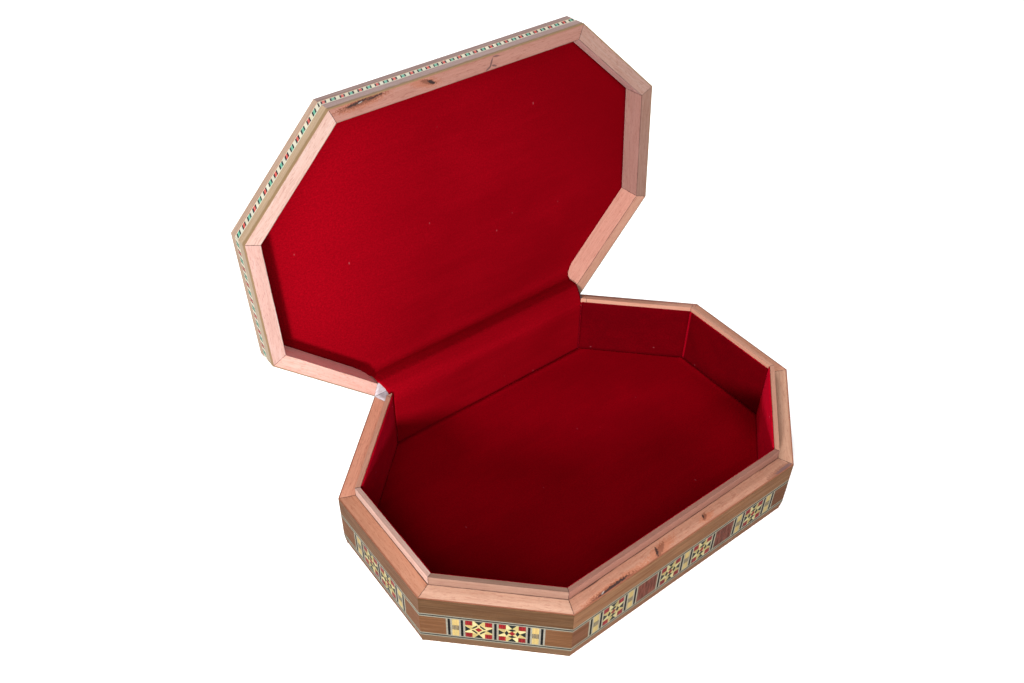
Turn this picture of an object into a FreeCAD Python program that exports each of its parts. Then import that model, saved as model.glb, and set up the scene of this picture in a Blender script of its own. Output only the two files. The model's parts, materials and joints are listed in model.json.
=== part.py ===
"""Inlaid wooden box: an elongated octagon with mitred walls, a standing lip and a cloth-hinged lid.

Frame: millimetres, +X along the hinge, +Y towards the hinge, +Z up.
The origin is the centre of the underside. The lid is modelled closed and then swung open about the hinge.
"""

import FreeCAD, Part
import math
import os
import re

import Sketcher
from FreeCAD import Placement, Rotation, Vector

SIZES = {
    # plan: an octagon with two long sides, two ends and four diagonals
    "box_length": 254.0,
    "box_width": 173.0,
    "cut_along": 52.1,
    "cut_across": 50.3,
    # base: eight walls, a bottom board and seven lip strips
    "base_height": 39.0,
    "wall_width": 8.2,
    "veneer": 0.6,
    "floor_board": 3.0,
    "velvet": 0.8,
    "lip_width": 2.4,
    "lip_height": 5.5,
    "lip_edge": 0.3,
    "lip_bare_edge": 2.4,
    # the foot of the wall leans in and ends in a chamfer
    "foot_lean": 1.0,
    "foot_rise": 1.8,
    "foot_inset": 2.6,
    # inlay bands on the base walls: heights of the two stringing lines
    "lower_line": 8.4,
    "upper_line": 24.8,
    "line_height": 2.4,
    "line_white": 0.8,
    # tiles in the band between the lines
    "star_width": 13.0,
    "cream_width": 3.3,
    "mahogany_width": 12.9,
    "bar_width": 2.9,
    "bar_white": 0.85,
    # lid: rails with a top board let in between them
    "lid_gap": 0.1,
    "rail_width": 7.9,
    "rail_height": 16.4,
    "rail_side": 13.7,
    "lid_depth": 13.0,
    "mosaic_line": 5.8,
    "mosaic_height": 4.1,
    # lid top veneers, inwards from the bevel
    "top_edge_width": 4.0,
    "panel_columns": 5.0,
    "panel_rows": 3.0,
    # hinge: cotton tape on both back rims and a velvet sheet over the fold
    "tape": 0.3,
    "fold_radius": 14.3,
    "open_angle": 94.3,
}

LONG_PATTERN = "cream star cream mahogany star cream star mahogany cream star cream".split()
SHORT_PATTERN = "cream star star cream".split()

doc = FreeCAD.newDocument("inlaid_box")
sheet = doc.addObject("Spreadsheet::Sheet", "Sizes")
for row, (alias, value) in enumerate(SIZES.items(), start=1):
    sheet.set(f"A{row}", alias)
    sheet.set(f"B{row}", str(value))
    sheet.setAlias(f"B{row}", alias)
doc.recompute()


def bound(expression):
    """Writes the sheet's aliases in an expression as references to the sheet."""
    return re.sub(r"[a-z_]+", lambda m: f"Sizes.{m[0]}" if m[0] in SIZES else m[0], expression)


def number(expression):
    """The present value of an expression of the sheet's aliases."""
    value = sheet.evalExpression(expression)
    return float(getattr(value, "Value", value))


# ---------------------------------------------------------------- the plan

MITRE = {
    "long": "tan(atan(cut_across / cut_along) / 2)",
    "end": "tan(atan(cut_along / cut_across) / 2)",
}
HALF_LENGTH = {
    "long": "(box_length / 2 - cut_along)",
    "end": "(box_width / 2 - cut_across)",
    "diagonal": "(sqrt(cut_along ^ 2 + cut_across ^ 2) / 2)",
}


class Side:
    """One of the eight sides, with its own frame: x along the side, y inwards, z up."""

    def __init__(self, name, kind, left, right, start, finish):
        self.name = name
        self.half = HALF_LENGTH[kind]
        self.left = MITRE[left]
        self.right = MITRE[right]
        self.pattern = LONG_PATTERN if kind == "long" else SHORT_PATTERN
        run = finish - start
        turn = Rotation(Vector(0, 0, 1), math.degrees(math.atan2(run.y, run.x)))
        self.frame = Placement((start + finish) * 0.5, turn)


def corners():
    """The octagon's corners, anticlockwise from the left end of the front."""
    half_long, half_end = number(HALF_LENGTH["long"]), number(HALF_LENGTH["end"])
    across, along = number("box_width / 2"), number("box_length / 2")
    quarter = [Vector(half_long, -across, 0), Vector(along, -half_end, 0)]
    right = quarter + [Vector(p.x, -p.y, 0) for p in reversed(quarter)]
    left = [Vector(-p.x, -p.y, 0) for p in right]
    return [left[3]] + right + left[:3]


SIDE_PLAN = [
    ("front", "long", "long", "long"),
    ("front_right", "diagonal", "long", "end"),
    ("right", "end", "end", "end"),
    ("back_right", "diagonal", "end", "long"),
    ("back", "long", "long", "long"),
    ("back_left", "diagonal", "long", "end"),
    ("left", "end", "end", "end"),
    ("front_left", "diagonal", "end", "long"),
]
CORNERS = corners()
SIDES = [Side(*plan, CORNERS[i], CORNERS[(i + 1) % 8]) for i, plan in enumerate(SIDE_PLAN)]
BACK = next(side for side in SIDES if side.name == "back")

HINGE = Vector(0, number("box_width / 2"), number("base_height + lid_gap / 2"))
OPEN = Placement(Vector(), Rotation(Vector(1, 0, 0), -number("open_angle")), HINGE)
ON_BASE = Placement()
ON_LID = OPEN.multiply(Placement(Vector(0, 0, number("base_height + lid_gap")), Rotation()))


# ---------------------------------------------------------------- building helpers


def plane(body, role):
    """An origin plane of a body."""
    return next(p for p in body.Origin.OriginFeatures if p.Role == role)


def new_sketch(body, name, role, lift=None):
    """A sketch on one of its body's origin planes, lifted off it by an expression."""
    sketch = body.newObject("Sketcher::SketchObject", name)
    sketch.AttachmentSupport = [(plane(body, role), "")]
    sketch.MapMode = "FlatFace"
    if lift:
        sketch.setExpression("AttachmentOffset.Base.z", bound(lift))
    return sketch


def polygon(sketch, points):
    """A closed polygon whose corners are pairs of expressions, each bound to the sheet."""
    first = sketch.GeometryCount
    count = len(points)
    spots = [Vector(number(x), number(y), 0) for x, y in points]
    for i, spot in enumerate(spots):
        sketch.addGeometry(Part.LineSegment(spot, spots[(i + 1) % count]))
    for i in range(count):
        following = first + (i + 1) % count
        sketch.addConstraint(Sketcher.Constraint("Coincident", first + i, 2, following, 1))
    for i, (spot, point) in enumerate(zip(spots, points)):
        for kind, value, expression in zip(("DistanceX", "DistanceY"), spot, point):
            index = sketch.addConstraint(Sketcher.Constraint(kind, -1, 1, first + i, 1, value))
            sketch.setExpression(f"Constraints[{index}]", bound(expression))


def new_body(name, where):
    """An empty body standing at a placement."""
    body = doc.addObject("PartDesign::Body", name)
    body.Label = name
    body.Placement = where
    return body


def pad(body, sketch, length, both_ways=False):
    """Pads a sketch by an expression."""
    feature = body.newObject("PartDesign::Pad", body.Name + "_pad")
    feature.Profile = sketch
    feature.setExpression("Length", bound(length))
    if both_ways:
        feature.SideType = "Symmetric"


def plate(name, where, points, low, thickness, window=None):
    """A flat piece with straight edges: its outline, padded up from a height."""
    body = new_body(name, where)
    sketch = new_sketch(body, name + "_outline", "XY_Plane", low)
    polygon(sketch, points)
    if window:
        polygon(sketch, window)
    pad(body, sketch, thickness)
    return body


def along(side, end, inset):
    """Where a mitre plane is along a side, at an inset from its outer edge."""
    mitre = side.left if end < 0 else side.right
    return f"{end} * ({side.half} - {inset} * {mitre})"


def strip(name, side, where, outer, inner, low, height):
    """A strip of rectangular section along one side, mitred at both ends."""
    points = [
        (along(side, -1, outer), outer),
        (along(side, 1, outer), outer),
        (along(side, 1, inner), inner),
        (along(side, -1, inner), inner),
    ]
    return plate(name, where.multiply(side.frame), points, low, height)


def profiled_bar(name, side, where, section, depth):
    """A bar of any section (inset, height) along one side, cut to both mitres."""
    body = new_body(name, where.multiply(side.frame))
    profile = new_sketch(body, name + "_section", "YZ_Plane")
    polygon(profile, section)
    pad(body, profile, f"2 * {side.half}", both_ways=True)
    waste = new_sketch(body, name + "_waste", "XY_Plane")
    for end in (-1, 1):
        tip = f"{end} * {side.half}"
        polygon(waste, [(tip, "0"), (tip, depth), (along(side, end, depth), depth)])
    cut = body.newObject("PartDesign::Pocket", name + "_mitres")
    cut.Profile = waste
    cut.Type = "ThroughAll"
    cut.SideType = "Symmetric"
    return body


def octagon(inset):
    """The plan's outline at an inset, as expressions."""
    long_half = f"({HALF_LENGTH['long']} - {inset} * {MITRE['long']})"
    end_half = f"({HALF_LENGTH['end']} - {inset} * {MITRE['end']})"
    across, far = f"(box_width / 2 - {inset})", f"(box_length / 2 - {inset})"
    right = [
        (long_half, "-" + across),
        (far, "-" + end_half),
        (far, end_half),
        (long_half, across),
    ]
    left = [("-" + x, y) for x, y in reversed(right)]
    return right + left


def block(name, where, spot, size):
    """A plain box: its near corner and its three sizes are expressions."""
    box = doc.addObject("Part::Box", name)
    for prop, expression in zip(("Length", "Width", "Height"), size):
        box.setExpression(prop, bound(expression))
    corner = Vector(*(number(expression) for expression in spot))
    box.Placement = where.multiply(Placement(corner, Rotation()))
    return box


NODES = []


def node(piece):
    """Marks one piece as a node of its own."""
    NODES.append(piece)
    return piece


def group(name, pieces):
    """Gathers separate pieces of one kind in one node."""
    compound = doc.addObject("Part::Compound", name)
    compound.Label = name
    compound.Links = pieces
    return node(compound)


# ---------------------------------------------------------------- base carcass


def base_walls():
    """Eight solid walls, mitred at the corners; the back one is lower by the hinge tape."""
    for side in SIDES:
        rim = "(base_height - tape)" if side.name == "back" else "base_height"
        section = [
            ("veneer", rim),
            ("veneer", "lower_line"),
            ("veneer + foot_lean", "foot_rise"),
            ("foot_inset", "0"),
            ("wall_width", "0"),
            ("wall_width", rim),
        ]
        node(profiled_bar("wall_" + side.name, side, ON_BASE, section, "wall_width"))


def base_board():
    """The bottom board, let in between the walls."""
    node(plate("base_board", ON_BASE, octagon("wall_width"), "0", "floor_board"))


LINING = "(wall_width + lip_width)"
LIP_TOP = "(base_height + lip_height)"


def butt(side, end, inset):
    """Where the back wall's inner face crosses a diagonal side, at an inset."""
    slope = f"(cut_along / cut_across) * ({inset} - wall_width)"
    return f"{along(side, end, 'wall_width')} + {end} * {slope}"


def lip_ends(side):
    """How each end of a side's lining is cut: butted against the back wall or mitred."""
    at_left = butt if side.name == "back_left" else along
    at_right = butt if side.name == "back_right" else along
    return at_left, at_right


def lining(name, side, outer, inner, low, height):
    """A strip standing inside a wall, on every side but the back."""
    at_left, at_right = lip_ends(side)
    points = [
        (at_left(side, -1, outer), outer),
        (at_right(side, 1, outer), outer),
        (at_right(side, 1, inner), inner),
        (at_left(side, -1, inner), inner),
    ]
    return plate(name, side.frame, points, low, height)


def lip_strips():
    """Seven thin strips that line the walls and stand proud of the rim as the lid's seat."""
    for side in SIDES:
        if side.name != "back":
            height = f"{LIP_TOP} - floor_board"
            name = "lip_" + side.name
            node(lining(name, side, "wall_width", LINING, "floor_board", height))


# ---------------------------------------------------------------- base inlay


def base_bands():
    """Walnut veneer above the inlaid band, and the leaning veneer below it."""
    upper_low = "(upper_line + line_height)"
    upper, lower = [], []
    for side in SIDES:
        rim = "(base_height - tape)" if side.name == "back" else "base_height"
        name = "upper_band_" + side.name
        upper.append(strip(name, side, ON_BASE, "0", "veneer", upper_low, f"{rim} - {upper_low}"))
        section = [
            ("0", "lower_line"),
            ("foot_lean", "foot_rise"),
            ("veneer + foot_lean", "foot_rise"),
            ("veneer", "lower_line"),
        ]
        name = "lower_band_" + side.name
        lower.append(profiled_bar(name, side, ON_BASE, section, "veneer + foot_lean"))
    group("upper_band", upper)
    group("lower_band", lower)


def sandwich(total, white):
    """A white-black-white sandwich: (colour, start, thickness) of its three layers."""
    black = f"({total} - 2 * {white})"
    return [
        ("white", "0", white),
        ("black", white, black),
        ("white", f"({total} - {white})", white),
    ]


def base_stringing():
    """Two stringing lines round the walls, each a white-black-white sandwich."""
    lines = {"white": [], "black": []}
    for side in SIDES:
        for line in ("lower_line", "upper_line"):
            for i, (colour, start, height) in enumerate(sandwich("line_height", "line_white")):
                name = f"{line}_{side.name}_{i}"
                low = f"{line} + {start}"
                lines[colour].append(strip(name, side, ON_BASE, "0", "veneer", low, height))
    group("stringing_white", lines["white"])
    group("stringing_black", lines["black"])


BAND_LOW = "(lower_line + line_height)"
BAND_HEIGHT = "(upper_line - lower_line - line_height)"
TILE_WIDTH = {"star": "star_width", "cream": "cream_width", "mahogany": "mahogany_width"}


def row_half(pattern):
    """Half the length of a side's row of tiles, with a bar on each side of every tile."""
    tiles = " + ".join(TILE_WIDTH[kind] for kind in pattern)
    return f"(({tiles} + {len(pattern) + 1} * bar_width) / 2)"


def bar(side, index, reach, bars):
    """One upright bar of three leaves, starting at a reach along a side."""
    for colour, start, width in sandwich("bar_width", "bar_white"):
        name = f"bar_{side.name}_{index}_{colour}_{len(bars[colour])}"
        spot = (f"{reach} + {start}", "0", BAND_LOW)
        bars[colour].append(block(name, side.frame, spot, (width, "veneer", BAND_HEIGHT)))


def tile_row(side, tiles, bars):
    """A side's row of tiles, with a bar before, between and after them."""
    reach = f"(0 - {row_half(side.pattern)})"
    for i, kind in enumerate(side.pattern):
        bar(side, i, reach, bars)
        reach = f"({reach} + bar_width)"
        size = (TILE_WIDTH[kind], "veneer", BAND_HEIGHT)
        spot = (reach, "0", BAND_LOW)
        tiles[kind].append(block(f"{kind}_{side.name}_{i}", side.frame, spot, size))
        reach = f"({reach} + {TILE_WIDTH[kind]})"
    bar(side, len(side.pattern), reach, bars)


def filler(side, end):
    """The walnut piece from a side's last bar to the corner."""
    inner_edge = f"{end} * {row_half(side.pattern)}"
    points = [
        (inner_edge, "0"),
        (along(side, end, "0"), "0"),
        (along(side, end, "veneer"), "veneer"),
        (inner_edge, "veneer"),
    ]
    place = "left" if end < 0 else "right"
    return plate(f"filler_{side.name}_{place}", side.frame, points, BAND_LOW, BAND_HEIGHT)


def base_tiles():
    """The inlaid band: tiles with upright bars between them, and walnut out to the corners."""
    tiles = {"star": [], "cream": [], "mahogany": []}
    bars = {"white": [], "black": []}
    for side in SIDES:
        tile_row(side, tiles, bars)
    group("star_tiles", tiles["star"])
    group("cream_tiles", tiles["cream"])
    group("mahogany_tiles", tiles["mahogany"])
    group("bars_white", bars["white"])
    group("bars_black", bars["black"])
    group("corner_fillers", [filler(side, end) for side in SIDES for end in (-1, 1)])


# ---------------------------------------------------------------- base lining cloth


FLOOR_TOP = "(floor_board + velvet)"
BACK_FACE = "(box_width / 2 - wall_width)"


def between_linings(thickness, inset):
    """Half the back wall's clear width between the diagonal linings, at an inset from its face."""
    corner = f"({HALF_LENGTH['long']} - wall_width * {MITRE['long']})"
    lean = "sqrt(cut_along ^ 2 + cut_across ^ 2) / cut_across"
    return f"({corner} - {thickness} * {lean} - {inset} * cut_along / cut_across)"


def base_velvet():
    """Velvet on the floor, on the lip strips' inner faces and on the back wall."""
    floor = octagon(LINING)
    reach = between_linings("lip_width", "0")
    back_corners = [(reach, BACK_FACE), ("-" + reach, BACK_FACE)]
    outline = floor[:3] + back_corners + floor[5:]
    node(plate("velvet_floor", ON_BASE, outline, "floor_board", "velvet"))
    faces = []
    for side in SIDES:
        if side.name == "back":
            continue
        bare = "lip_bare_edge" if side.name in ("right", "back_right") else "lip_edge"
        height = f"{LIP_TOP} - {bare} - {FLOOR_TOP}"
        inner = f"({LINING} + velvet)"
        name = "velvet_wall_" + side.name
        faces.append(lining(name, side, LINING, inner, FLOOR_TOP, height))
    group("velvet_walls", faces)
    wide = between_linings("(lip_width + velvet)", "0")
    narrow = between_linings("(lip_width + velvet)", "velvet")
    front_face = "(wall_width + velvet)"
    points = [
        ("-" + wide, "wall_width"),
        (wide, "wall_width"),
        (narrow, front_face),
        ("-" + narrow, front_face),
    ]
    height = f"base_height - {FLOOR_TOP}"
    node(plate("velvet_back_wall", BACK.frame, points, FLOOR_TOP, height))


# ---------------------------------------------------------------- hinge


def hinge_tapes():
    """Cotton tape on the back rims of base and lid; the fold between them is the hinge axis."""
    low = "base_height - tape"
    node(strip("hinge_tape_base", BACK, ON_BASE, "0", "wall_width", low, "tape"))
    node(strip("hinge_tape_lid", BACK, ON_LID, "0", "rail_width", "0", "tape"))


def hinge_velvet():
    """The velvet across the fold: a shallow arch from the base's inner edge to the lid's."""
    half_chord = "(wall_width * sin(open_angle * 0.5deg))"
    chord_distance = number("wall_width * cos(open_angle * 0.5deg)")
    centre_distance = chord_distance - number(f"sqrt(fold_radius ^ 2 - {half_chord} ^ 2)")
    halfway = Rotation(Vector(1, 0, 0), 180 - number("open_angle / 2"))
    outwards = halfway.multVec(Vector(0, 1, 0))
    body = new_body("velvet_hinge", Placement(HINGE + outwards * centre_distance, halfway))
    sketch = new_sketch(body, "velvet_hinge_section", "YZ_Plane")
    radii = ("fold_radius", "(fold_radius + velvet)")
    rises = (half_chord, f"({half_chord} * (fold_radius + velvet) / fold_radius)")
    swing = math.asin(number(f"{half_chord} / fold_radius"))
    ends = {-1: [], 1: []}
    for arc, (radius, rise) in enumerate(zip(radii, rises)):
        circle = Part.Circle(Vector(), Vector(0, 0, 1), number(radius))
        sketch.addGeometry(Part.ArcOfCircle(circle, -swing, swing))
        sketch.addConstraint(Sketcher.Constraint("Coincident", arc, 3, -1, 1))
        index = sketch.addConstraint(Sketcher.Constraint("Radius", arc, number(radius)))
        sketch.setExpression(f"Constraints[{index}]", bound(radius))
        for end in ends:
            value = end * number(rise)
            vertex = 1 if end < 0 else 2
            place = Sketcher.Constraint("DistanceY", -1, 1, arc, vertex, value)
            index = sketch.addConstraint(place)
            sketch.setExpression(f"Constraints[{index}]", bound(f"{end} * {rise}"))
            ends[end].append(sketch.getPoint(arc, vertex))
    for line, (end, (near, far)) in enumerate(ends.items(), start=2):
        sketch.addGeometry(Part.LineSegment(near, far))
        vertex = 1 if end < 0 else 2
        sketch.addConstraint(Sketcher.Constraint("Coincident", line, 1, 0, vertex))
        sketch.addConstraint(Sketcher.Constraint("Coincident", line, 2, 1, vertex))
    width = between_linings("(lip_width + velvet)", "0")
    pad(body, sketch, f"2 * {width}", both_ways=True)
    node(body)


# ---------------------------------------------------------------- lid


def lid_rails():
    """Eight rails with a bevelled top edge; the back one is lower by the hinge tape."""
    bevel = "(rail_height - rail_side)"
    for side in SIDES:
        rim = "tape" if side.name == "back" else "0"
        section = [
            ("veneer", rim),
            ("rail_width", rim),
            ("rail_width", "rail_height"),
            (bevel, "rail_height"),
            ("veneer", "rail_side + veneer"),
        ]
        node(profiled_bar("rail_" + side.name, side, ON_LID, section, "rail_width"))


BOARD_LOW = "(lid_depth + velvet)"


def lid_board():
    """The lid's board, let in between the rails, and the velvet glued under it."""
    height = f"rail_height - {BOARD_LOW}"
    node(plate("lid_board", ON_LID, octagon("rail_width"), BOARD_LOW, height))
    node(plate("velvet_lid", ON_LID, octagon("rail_width"), "lid_depth", "velvet"))
    half = between_linings("(lip_width + velvet)", "velvet")
    spot = ("0 - " + half, "rail_width", "0")
    size = ("2 * " + half, "velvet", "lid_depth")
    node(block("velvet_lid_rail", ON_LID.multiply(BACK.frame), spot, size))


def lid_side_bands():
    """Round the lid's side: a walnut band, the mosaic strip and a narrow band above it."""
    above = "(mosaic_line + mosaic_height)"
    bands = {"lid_lower_band": [], "lid_mosaic": [], "lid_upper_band": []}
    for side in SIDES:
        rim = "tape" if side.name == "back" else "0"
        heights = {
            "lid_lower_band": (rim, f"mosaic_line - {rim}"),
            "lid_mosaic": ("mosaic_line", "mosaic_height"),
            "lid_upper_band": (above, f"rail_side - {above}"),
        }
        for name, (low, height) in heights.items():
            label = f"{name}_{side.name}"
            bands[name].append(strip(label, side, ON_LID, "0", "veneer", low, height))
    for name, pieces in bands.items():
        group(name, pieces)


BEVEL = "(rail_height - rail_side)"
MOSAIC_START = f"({BEVEL} + top_edge_width)"
MOSAIC_END = f"({MOSAIC_START} + mosaic_height)"
FIELD_START = f"({MOSAIC_END} + line_height)"


def top_rings():
    """On the lid's top, inwards: a walnut edge, the mosaic strip and a stringing line."""
    edge, mosaic = [], []
    lines = {"white": [], "black": []}
    for side in SIDES:
        name = "top_edge_" + side.name
        edge.append(strip(name, side, ON_LID, BEVEL, MOSAIC_START, "rail_height", "veneer"))
        name = "top_mosaic_" + side.name
        mosaic.append(strip(name, side, ON_LID, MOSAIC_START, MOSAIC_END, "rail_height", "veneer"))
        for i, (colour, start, width) in enumerate(sandwich("line_height", "line_white")):
            outer = f"({MOSAIC_END} + {start})"
            inner = f"({outer} + {width})"
            name = f"top_line_{side.name}_{i}"
            lines[colour].append(strip(name, side, ON_LID, outer, inner, "rail_height", "veneer"))
    group("top_edge", edge)
    group("top_mosaic", mosaic)
    return lines


PANEL_HALF_X = "(panel_columns * star_width / 2)"
PANEL_HALF_Y = f"(panel_rows * {BAND_HEIGHT} / 2)"


def rectangle(margin):
    """The middle panel's outline, enlarged by a margin, as expressions."""
    x, y = f"({PANEL_HALF_X} + {margin})", f"({PANEL_HALF_Y} + {margin})"
    return [("-" + x, "-" + y), (x, "-" + y), (x, y), ("-" + x, y)]


def panel_tiles():
    """The middle of the lid's top: stars and plain tiles in turn."""
    stars, mahogany = [], []
    for row in range(round(SIZES["panel_rows"])):
        for column in range(round(SIZES["panel_columns"])):
            spot = (
                f"{column} * star_width - {PANEL_HALF_X}",
                f"{row} * {BAND_HEIGHT} - {PANEL_HALF_Y}",
                "rail_height",
            )
            size = ("star_width", BAND_HEIGHT, "veneer")
            tile = block(f"top_tile_{row}_{column}", ON_LID, spot, size)
            kind = mahogany if (row + column) % 2 else stars
            kind.append(tile)
    group("top_star_tiles", stars)
    group("top_mahogany_tiles", mahogany)


def panel_frame(lines):
    """The stringing line round the middle panel, butted at its corners."""
    for i, (colour, start, width) in enumerate(sandwich("line_height", "line_white")):
        far = f"(line_height - {start})"
        near = f"({far} - {width})"
        x_far, x_near = f"({PANEL_HALF_X} + {far})", f"({PANEL_HALF_X} + {near})"
        y_far, y_near = f"({PANEL_HALF_Y} + {far})", f"({PANEL_HALF_Y} + {near})"
        runs = {
            "front": ((f"0 - {x_far}", f"0 - {y_far}"), (f"2 * {x_far}", width)),
            "back": ((f"0 - {x_far}", y_near), (f"2 * {x_far}", width)),
            "left": ((f"0 - {x_far}", f"0 - {y_near}"), (width, f"2 * {y_near}")),
            "right": ((x_near, f"0 - {y_near}"), (width, f"2 * {y_near}")),
        }
        for place, (spot, size) in runs.items():
            name = f"panel_line_{place}_{i}"
            box = block(name, ON_LID, (*spot, "rail_height"), (*size, "veneer"))
            lines[colour].append(box)


def lid_top():
    """The lid's upper face: rings round the edge, a walnut field and a framed panel in its middle."""
    lines = top_rings()
    window = rectangle("line_height")
    node(plate("top_field", ON_LID, octagon(FIELD_START), "rail_height", "veneer", window))
    panel_tiles()
    panel_frame(lines)
    group("top_stringing_white", lines["white"])
    group("top_stringing_black", lines["black"])


# ---------------------------------------------------------------- the whole box


def failures():
    """Labels of what did not recompute, is not a valid solid, is not fully bound or cuts nothing."""
    wrong = [o for o in doc.Objects if {"Invalid", "Error"} & set(o.State)]
    for piece in NODES:
        if piece.Shape.isNull() or not piece.Shape.isValid() or not piece.Shape.Solids:
            wrong.append(piece)
    for o in doc.Objects:
        if o.isDerivedFrom("Sketcher::SketchObject") and not o.FullyConstrained:
            wrong.append(o)
        if o.isDerivedFrom("PartDesign::Pocket") and o.Shape.Volume >= o.BaseFeature.Shape.Volume:
            wrong.append(o)
    return [o.Label for o in wrong]


base_walls()
base_board()
lip_strips()
base_bands()
base_stringing()
base_tiles()
base_velvet()
hinge_tapes()
hinge_velvet()
lid_rails()
lid_board()
lid_side_bands()
lid_top()
doc.recompute()

failed = failures()
if failed:
    raise RuntimeError(f"these did not build: {failed}")
os.makedirs("parts", exist_ok=True)
for piece in NODES:
    piece.Shape.exportStep(f"parts/{piece.Label}.step")
print(len(NODES), "nodes written")
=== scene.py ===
import json
import math
import random

import bpy
from mathutils import Matrix, Vector, noise


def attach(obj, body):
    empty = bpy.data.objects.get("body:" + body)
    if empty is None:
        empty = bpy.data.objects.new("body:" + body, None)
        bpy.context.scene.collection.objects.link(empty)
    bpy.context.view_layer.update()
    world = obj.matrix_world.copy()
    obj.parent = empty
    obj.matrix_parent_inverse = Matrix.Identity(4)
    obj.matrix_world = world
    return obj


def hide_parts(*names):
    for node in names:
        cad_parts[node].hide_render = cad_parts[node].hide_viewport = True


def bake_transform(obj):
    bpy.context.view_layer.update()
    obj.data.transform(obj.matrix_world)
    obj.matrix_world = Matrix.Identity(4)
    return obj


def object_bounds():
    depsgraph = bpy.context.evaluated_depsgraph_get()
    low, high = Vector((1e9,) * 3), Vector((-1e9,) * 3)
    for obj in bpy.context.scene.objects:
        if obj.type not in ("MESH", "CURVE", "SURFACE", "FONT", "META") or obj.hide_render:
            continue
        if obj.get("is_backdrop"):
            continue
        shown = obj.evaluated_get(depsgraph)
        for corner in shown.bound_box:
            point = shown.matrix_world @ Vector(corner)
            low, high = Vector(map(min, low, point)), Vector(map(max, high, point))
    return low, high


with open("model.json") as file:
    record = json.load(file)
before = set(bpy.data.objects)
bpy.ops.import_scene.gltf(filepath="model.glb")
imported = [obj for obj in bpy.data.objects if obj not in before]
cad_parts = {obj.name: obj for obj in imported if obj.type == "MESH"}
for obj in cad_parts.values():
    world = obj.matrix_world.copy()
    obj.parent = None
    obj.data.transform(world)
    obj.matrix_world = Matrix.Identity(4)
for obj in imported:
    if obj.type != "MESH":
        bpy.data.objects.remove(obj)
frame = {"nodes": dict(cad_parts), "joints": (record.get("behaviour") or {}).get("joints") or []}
cad_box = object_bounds()
nodes = frame["nodes"]

# ---------------------------------------------------------------- geometry of the octagon
MM = 0.001
TURN = {"front": 0, "front_right": 44, "right": 90, "back_right": 136,
        "back": 180, "back_left": 224, "left": 270, "front_left": 316}
SIDES = list(TURN)
joint = frame["joints"][0]
HINGE = Vector(joint["pos_m"]) / MM
OPEN_ANGLE = math.radians(joint["range_deg"][1])
OPEN = Matrix.Translation(HINGE) @ Matrix.Rotation(-OPEN_ANGLE, 4, "X") @ Matrix.Translation(-HINGE)
RIM_Z = 39.0                     # the back wall's rim, in mm
LID_Z = HINGE.z + 0.05           # the lid's rim when closed


def outline():
    """The eight plan corners in mm, anticlockwise from the front side's left end."""
    band = nodes["upper_band"].data
    points = [v.co / MM for v in band.vertices]
    half_x = max(p.x for p in points)
    half_y = max(p.y for p in points)
    cut_x = max(p.x for p in points if p.y < 0.01 - half_y)
    cut_y = max(p.y for p in points if p.x > half_x - 0.01)
    quarter = [(cut_x, -half_y), (half_x, -cut_y)]
    right = quarter + [(x, -y) for x, y in reversed(quarter)]
    return [(-cut_x, -half_y)] + right + [(-x, y) for x, y in reversed(right[1:])]


CORNERS = [Vector(c) for c in outline()]
HALF_DEPTH = -CORNERS[0].y


def normal(side):
    """The side's outward direction in plan."""
    a = math.radians(TURN[side])
    return Vector((math.sin(a), -math.cos(a)))


def meet(side_a, inset_a, side_b, inset_b):
    """Where two sides meet, each moved inwards by its inset."""
    na, nb = normal(side_a), normal(side_b)
    da = na.dot(CORNERS[SIDES.index(side_a)]) - inset_a
    db = nb.dot(CORNERS[SIDES.index(side_b)]) - inset_b
    det = na.x * nb.y - na.y * nb.x
    return Vector(((da * nb.y - db * na.y) / det, (na.x * db - nb.x * da) / det))


def side_frame(side):
    """x runs along the side, y inwards and z up, from the middle of its outer edge, in mm."""
    i = SIDES.index(side)
    middle = (CORNERS[i] + CORNERS[(i + 1) % 8]) / 2
    return Matrix.Translation(middle.to_3d()) @ Matrix.Rotation(math.radians(TURN[side]), 4, "Z")


def neighbours(side):
    i = SIDES.index(side)
    return SIDES[i - 1], SIDES[(i + 1) % 8]


def side_ends(side, inset, before=None, after=None):
    """The u values where the side's mitres lie at this inset."""
    prev_side, next_side = neighbours(side)
    local = side_frame(side).inverted()
    start = meet(prev_side, inset if before is None else before, side, inset)
    end = meet(side, inset, next_side, inset if after is None else after)
    return (local @ start.to_3d()).x, (local @ end.to_3d()).x


def half_width(y, inset):
    """Half the octagon's width at this y, at this inset."""
    corner_x = meet("front_right", inset, "right", inset)
    front_x = meet("front", inset, "front_right", inset)
    slope = (corner_x.x - front_x.x) / (abs(front_x.y) - abs(corner_x.y))
    return min(corner_x.x, corner_x.x - slope * (abs(y) - abs(corner_x.y)))


def smooth(t):
    t = min(1.0, max(0.0, t))
    return t * t * (3 - 2 * t)


# ---------------------------------------------------------------- node materials
def srgb(red, green, blue, light=1.0):
    """The linear colour of an 8-bit colour seen under this much light."""
    def linear(c):
        c = c / 255
        return (c / 12.92 if c <= 0.04045 else ((c + 0.055) / 1.055) ** 2.4) / light
    return (linear(red), linear(green), linear(blue), 1.0)


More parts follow.
